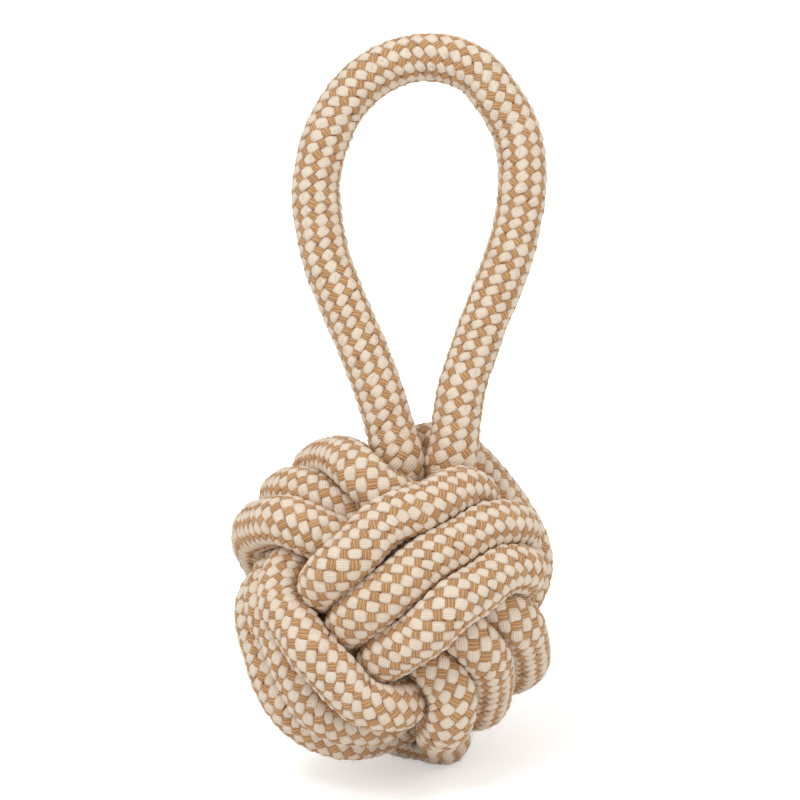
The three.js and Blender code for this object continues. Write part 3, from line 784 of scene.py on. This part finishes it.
def fibre_grid(first, last):
    """A loose fibre that stands a little off the strands: a thin bent tube, somewhere in a stretch."""
    heading = chance.uniform(0, 2 * math.pi)
    places = chance.integers(first, last, FUZZ_TRIES)
    columns = chance.integers(0, TURN_ANGLES, FUZZ_TRIES)
    tried = np.argmin(np.abs(squeeze_at_rows[places, columns] - FUZZ_SQUEEZE))
    place, column = places[tried], columns[tried]
    angle = (column + chance.uniform(0, 1)) * (2 * math.pi / TURN_ANGLES)
    out = math.cos(angle) * side_at_rows[place] + math.sin(angle) * other_at_rows[place]
    around = np.cross(out, forward_at_rows[place])
    ahead = math.cos(heading) * forward_at_rows[place] + math.sin(heading) * around
    beside = np.cross(out, ahead)

    start = line_at_rows[place] + out * (reach_at_rows[place, column] - FUZZ_ROOT_DEPTH)
    length = chance.uniform(*FUZZ_LENGTHS)
    height = chance.uniform(*FUZZ_HEIGHTS) + FUZZ_ROOT_DEPTH
    sway = chance.uniform(-FUZZ_SWAY_SHARE, FUZZ_SWAY_SHARE) * length
    share = np.linspace(0, 1, FUZZ_POINTS)[:, None]
    hump = np.sin(math.pi * share * chance.uniform(*FUZZ_HUMP_SHARES))
    path = start + ahead * length * share + out * height * hump + beside * sway * share ** 2

    turn = np.arange(FUZZ_SIDES) * (2 * math.pi / FUZZ_SIDES)
    normal = np.cos(turn)[:, None] * beside + np.sin(turn)[:, None] * out
    radius = FUZZ_RADIUS * (1 - FUZZ_TAPER_SHARE * share)
    grid = path[:, None] + normal * radius[..., None]
    grid[..., 2] = np.maximum(grid[..., 2], FLOOR_GAP)
    normals = np.repeat(normal[None], FUZZ_POINTS, axis=0)
    return grid, normals, lengths_along(path), np.full(grid.shape[:2], FUZZ_PAINTED_LIGHT)


def fuzz_grids(first, last):
    count = (last - first) // SAMPLES_PER_ROW * FUZZ_PER_ROW
    return [fibre_grid(first, last) for _ in range(count)]


# Meshes

MILLIMETRES = 1000
PATTERN_STEP = 7.3


def tube_faces(count, sides, offset):
    """The faces between the rings of a tube, as the numbers of their corners."""
    here = np.arange(count * sides).reshape(count, sides) + offset
    beside = np.roll(here, -1, axis=1)
    return np.stack([here[:-1], beside[:-1], beside[1:], here[1:]], axis=-1).reshape(-1, 4)


def tube_uvs(travelled, sides):
    """The pattern's place at each corner of a tube's faces: millimetres along and a share of the way round."""
    spans = len(travelled) - 1
    share = np.arange(sides + 1) / sides
    corners = np.empty((spans, sides, 4, 2))
    for corner, (further, beside) in enumerate(((0, 0), (0, 1), (1, 1), (1, 0))):
        corners[:, :, corner, 0] = travelled[further:further + spans, None]
        corners[:, :, corner, 1] = share[beside:beside + sides]
    return corners.reshape(-1, 2)


def add_object(name, data):
    added = bpy.data.objects.new(name, data)
    bpy.context.scene.collection.objects.link(added)
    return added


def grids_mesh(name, grids, first, last):
    """One piece of the same stretch of several tubes, each with its own part of the pattern."""
    stretch = slice(first, last + 1)
    verts, normals, painted_lights, quads, uvs, offset = [], [], [], [], [], 0
    for number, (grid, normal, travelled, painted_light) in enumerate(grids):
        count, sides = grid[stretch].shape[:2]
        verts.append(grid[stretch].reshape(-1, 3))
        normals.append(normal[stretch].reshape(-1, 3))
        painted_lights.append(painted_light[stretch].ravel())
        quads.append(tube_faces(count, sides, offset))
        uvs.append(tube_uvs(travelled[stretch] * MILLIMETRES + number * PATTERN_STEP, sides))
        offset += count * sides
    verts, quads, uvs = np.vstack(verts), np.vstack(quads), np.vstack(uvs)

    mesh = bpy.data.meshes.new(name)
    mesh.vertices.add(len(verts))
    mesh.vertices.foreach_set("co", verts.ravel())
    mesh.loops.add(quads.size)
    mesh.loops.foreach_set("vertex_index", quads.ravel().astype(np.int32))
    mesh.polygons.add(len(quads))
    mesh.polygons.foreach_set("loop_start", np.arange(0, quads.size, 4, dtype=np.int32))
    mesh.polygons.foreach_set("use_smooth", np.ones(len(quads), bool))
    mesh.uv_layers.new(name="Strand").data.foreach_set("uv", uvs.ravel())
    mesh.attributes.new("painted_light", "FLOAT", "POINT").data.foreach_set("value", np.concatenate(painted_lights))
    mesh.update(calc_edges=True)
    mesh.validate()
    mesh.normals_split_custom_set_from_vertices(np.vstack(normals).tolist())
    return add_object(name, mesh)


# The random draws are made in this order: the cream strands, the tan ones, then the fibres of each stretch
cream_grids = [strand_grid(CREAM, number) for number in range(STRANDS)]
tan_grids = [strand_grid(TAN, number) for number in range(STRANDS)]
body_grids = [body_grid()]


# Materials

# Where a mix node keeps its two colours and its result
MIX_FIRST, MIX_SECOND, MIX_RESULT = 6, 7, 2

# Cotton: its sheen, its yarns, its fibres, slow changes of tone, and the painted shade that darkens it where it
# lies deep. A bump is a strength and a distance.
COTTON_ROUGHNESS = 0.9
SHEEN_WEIGHT = 0.25
SHEEN_ROUGHNESS = 0.5
SHEEN_TINT = (244, 214, 176)
YARN_SLANT = 0.35
YARN_SHARPNESS = 0.6
FIBRE_SCALES = (0.5, 40, 1)
FIBRE_DETAIL = 4
FIBRE_TONE = 0.5
FIBRE_HEIGHT = 0.6
PATCH_SCALES = (0.11, 0.6, 1)
SHADE_START = 0.45
SHADE_END = 0.95
SHADE_DEPTH = 0.7
COTTON_BUMP = (0.6, 0.00025)
RUBBER_ROUGHNESS = 0.7
RUBBER_TONE_SCALE = 120
RUBBER_GRAIN_SCALE = 2500
RUBBER_BUMP = (0.3, 0.0001)


def srgb(red, green, blue):
    """A colour as the shaders take it, from its values on a screen, of 255."""
    def linear(value):
        value /= 255
        return value / 12.92 if value <= 0.04045 else ((value + 0.055) / 1.055) ** 2.4
    return (linear(red), linear(green), linear(blue), 1)


class Look:
    """A material whose nodes are added one call at a time."""

    def __init__(self, name, roughness):
        self.material = bpy.data.materials.new(name)
        self.material.use_nodes = True
        self.tree = self.material.node_tree
        self.shader = self.tree.nodes["Principled BSDF"]
        self.shader.inputs["Roughness"].default_value = roughness

    def node(self, kind, **values):
        """A new node whose named inputs take an output of another node or a constant."""
        added = self.tree.nodes.new(kind)
        for name, value in values.items():
            self.feed(added.inputs[name], value)
        return added

    def feed(self, socket, value):
        if isinstance(value, bpy.types.NodeSocket):
            self.tree.links.new(value, socket)
        else:
            socket.default_value = value

    def calculate(self, operation, *values):
        node = self.node("ShaderNodeMath")
        node.operation = operation
        for socket, value in zip(node.inputs, values):
            self.feed(socket, value)
        return node.outputs[0]

    def scaled(self, value, factor, added):
        return self.calculate("ADD", self.calculate("MULTIPLY", value, factor), added)

    def noise(self, vector, scale, detail=2):
        return self.node("ShaderNodeTexNoise", Vector=vector, Scale=scale, Detail=detail).outputs["Fac"]

    def stretched_noise(self, vector, scales, detail=2):
        mapping = self.node("ShaderNodeMapping", Vector=vector, Scale=scales)
        return self.noise(mapping.outputs[0], 1, detail)

    def colour(self, shade, dark, light):
        mix = self.node("ShaderNodeMix")
        mix.data_type = "RGBA"
        self.feed(mix.inputs["Factor"], shade)
        self.feed(mix.inputs[MIX_FIRST], dark)
        self.feed(mix.inputs[MIX_SECOND], light)
        self.feed(self.shader.inputs["Base Color"], mix.outputs[MIX_RESULT])

    def bump(self, height, strength, distance):
        bump = self.node("ShaderNodeBump", Height=height, Strength=strength, Distance=distance)
        self.feed(self.shader.inputs["Normal"], bump.outputs[0])


def cotton(name, light, dark, yarns, line_depth, tone_change):
    """Matt cotton of twisted yarns, with painted shade that makes it darker in the grooves and where a strand
    lies deep or squeezed.
    """
    look = Look(name, COTTON_ROUGHNESS)
    look.shader.inputs["Sheen Weight"].default_value = SHEEN_WEIGHT
    look.shader.inputs["Sheen Tint"].default_value = srgb(*SHEEN_TINT)
    look.shader.inputs["Sheen Roughness"].default_value = SHEEN_ROUGHNESS
    uv = look.node("ShaderNodeUVMap")
    uv.uv_map = "Strand"
    place = uv.outputs["UV"]
    along, around, _ = look.node("ShaderNodeSeparateXYZ", Vector=place).outputs

    # The yarns: lines of painted shade in the grooves between them, which also make the bump.
    slant = look.calculate("MULTIPLY", along, YARN_SLANT)
    phase = look.calculate("ADD", look.calculate("MULTIPLY", around, 2 * math.pi * yarns), slant)
    lines = look.scaled(look.calculate("SINE", phase), 0.5, 0.5)
    fibres = look.stretched_noise(place, FIBRE_SCALES, FIBRE_DETAIL)
    patches = look.stretched_noise(place, PATCH_SCALES)
    # The painted light and shade of each place, from the mesh.
    painted_light = look.node("ShaderNodeAttribute")
    painted_light.attribute_name = "painted_light"
    ramp = look.node("ShaderNodeMapRange", Value=painted_light.outputs["Fac"])
    look.feed(ramp.inputs["From Min"], SHADE_START)
    look.feed(ramp.inputs["From Max"], SHADE_END)

    shade = look.scaled(look.calculate("POWER", lines, YARN_SHARPNESS), line_depth, 1 - line_depth)
    for factor in (
        look.scaled(fibres, FIBRE_TONE, 1 - FIBRE_TONE / 2),
        look.scaled(patches, tone_change, 1 - tone_change / 2),
        look.scaled(ramp.outputs[0], SHADE_DEPTH, 1 - SHADE_DEPTH),
    ):
        shade = look.calculate("MULTIPLY", shade, factor)
    look.colour(shade, dark, light)
    look.bump(look.calculate("ADD", lines, look.calculate("MULTIPLY", fibres, FIBRE_HEIGHT)), *COTTON_BUMP)
    return look.material


# Each cotton goes from its light colour towards its dark one by random tone and by painted shade.
cream_cotton = cotton(
    "cream_cotton", srgb(237, 224, 204), srgb(186, 114, 54), yarns=16, line_depth=0.2, tone_change=0.36)
tan_cotton = cotton(
    "tan_cotton", srgb(210, 165, 115), srgb(118, 62, 22), yarns=12, line_depth=0.65, tone_change=0.9)
# The inner body's brown is painted shade for the gaps between the strands.
body_painted_shade = cotton(
    "inner_painted_shade", srgb(200, 130, 66), srgb(160, 94, 42), yarns=40, line_depth=0.5, tone_change=0.36)
fuzz_cotton = cotton(
    "fuzz_cotton", srgb(238, 212, 174), srgb(208, 170, 124), yarns=2, line_depth=0.2, tone_change=0.36)


def core_rubber():
    """Matt brown rubber with a fine grain and slow changes of tone."""
    look = Look("core_rubber", RUBBER_ROUGHNESS)
    place = look.node("ShaderNodeTexCoord").outputs["Object"]
    look.colour(look.noise(place, RUBBER_TONE_SCALE), srgb(104, 70, 46), srgb(136, 98, 68))
    look.bump(look.noise(place, RUBBER_GRAIN_SCALE), *RUBBER_BUMP)
    return look.material


# The pieces

STRETCHES = (
    ("left_tuck", 0, meeting_rows[0], ("left_leg_tuck",)),
    ("handle", meeting_rows[0], meeting_rows[1], ("left_leg_root", "handle_loop", "right_leg_root")),
    ("right_tuck", meeting_rows[1], meeting_rows[2], ("right_leg_tuck",)),
    ("first_band", meeting_rows[2], meeting_rows[3], ("first_winding",)),
    ("second_band", meeting_rows[3], meeting_rows[4], ("second_winding",)),
    ("third_band", meeting_rows[4], len(rows) - 1, ("third_winding",)),
)
for stretch, first, last, replaced in STRETCHES:
    kinds = (
        ("cream", cream_grids, first, last, cream_cotton),
        ("tan", tan_grids, first, last, tan_cotton),
        # The inner pieces carry the painted shade seen in the gaps between the strands.
        ("inner", body_grids, first, last, body_painted_shade),
        ("fuzz", fuzz_grids(first, last), 0, FUZZ_POINTS - 1, fuzz_cotton),
    )
    for kind, grids, start, end, material in kinds:
        piece = grids_mesh(f"{stretch}_{kind}", grids, start, end)
        piece.data.materials.append(material)
        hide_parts(*replaced)
        if stretch == "handle":
            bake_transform(piece)
        else:
            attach(piece, "knot")

core = bpy.data.objects["core_ball"]
core.data.materials.clear()
core.data.materials.append(core_rubber())


# Camera, floor and light

FLOOR_HALF = 3
PAPER_TONE = 0.9
PAPER_ROUGHNESS = 0.9
PAPER_SHINE = 0.42
WORLD_LIGHT = 0.75
WHITE = (1, 1, 1, 1)

# Each lamp's place, size and power
KEY_LAMP = ((-0.4, -0.55, 1.35), 0.6, 7)
FILL_LAMP = ((0.9, -0.7, 0.6), 0.8, 2)
LAMP_AIM = (0, 0, 0.1)


def add_camera():
    """The camera at the picture's eye, upright and level in the toy's upright axes."""
    data = bpy.data.cameras.new("camera")
    data.sensor_width = SENSOR_WIDTH
    data.lens = SENSOR_WIDTH * EYE_DISTANCE / (PICTURE_PIXELS * PIXEL_SIZE)
    camera = add_object("camera", data)
    placed = np.eye(4)
    placed[:3, :3] = np.stack([TOY_TO_ROW @ EX, TOY_TO_ROW @ EZ, -(TOY_TO_ROW @ EY)], axis=1)
    placed[:3, 3] = toy_to_row((PICTURE_AIM[0], -EYE_DISTANCE, PICTURE_AIM[1]))
    camera.matrix_world = Matrix(placed.tolist())
    bpy.context.scene.camera = camera


def seen_strength(tree, seen, unseen):
    """A strength for rays from the camera, also by way of gloss and glass, and another for the light itself."""
    path = tree.nodes.new("ShaderNodeLightPath")
    found = path.outputs["Is Camera Ray"]
    for kind in ("Is Glossy Ray", "Is Transmission Ray"):
        either = tree.nodes.new("ShaderNodeMath")
        either.operation = "MAXIMUM"
        tree.links.new(found, either.inputs[0])
        tree.links.new(path.outputs[kind], either.inputs[1])
        found = either.outputs[0]
    strength = tree.nodes.new("ShaderNodeMapRange")
    strength.inputs["To Min"].default_value = unseen
    strength.inputs["To Max"].default_value = seen
    tree.links.new(found, strength.inputs["Value"])
    return strength.outputs[0]


def add_floor():
    """White paper that shows as bright as the world behind it, and keeps the toy's shadow."""
    mesh = bpy.data.meshes.new("floor")
    corners = [(x * FLOOR_HALF, y * FLOOR_HALF, 0) for x, y in ((-1, -1), (1, -1), (1, 1), (-1, 1))]
    mesh.from_pydata(corners, [], [(0, 1, 2, 3)])
    paper = Look("paper", PAPER_ROUGHNESS)
    paper.feed(paper.shader.inputs["Base Color"], (PAPER_TONE, PAPER_TONE, PAPER_TONE, 1))
    paper.feed(paper.shader.inputs["Emission Color"], WHITE)
    paper.feed(paper.shader.inputs["Emission Strength"], seen_strength(paper.tree, PAPER_SHINE, 0))
    mesh.materials.append(paper.material)
    floor = add_object("floor", mesh)


def add_world():
    """Even light from all sides, and white behind the toy."""
    world = bpy.data.worlds.new("studio")
    world.use_nodes = True
    background = world.node_tree.nodes["Background"]
    background.inputs["Color"].default_value = WHITE
    strength = seen_strength(world.node_tree, 1, WORLD_LIGHT)
    world.node_tree.links.new(strength, background.inputs["Strength"])
    bpy.context.scene.world = world


def add_lamp(name, place, size, power):
    data = bpy.data.lights.new(name, "AREA")
    data.size = size
    data.energy = power
    lamp = add_object(name, data)
    lamp.location = place
    lamp.rotation_euler = (Vector(LAMP_AIM) - Vector(place)).to_track_quat("-Z", "Y").to_euler()


add_camera()
add_floor()
add_world()
add_lamp("key", *KEY_LAMP)
add_lamp("fill", *FILL_LAMP)
bpy.context.scene.view_settings.view_transform = "Standard"
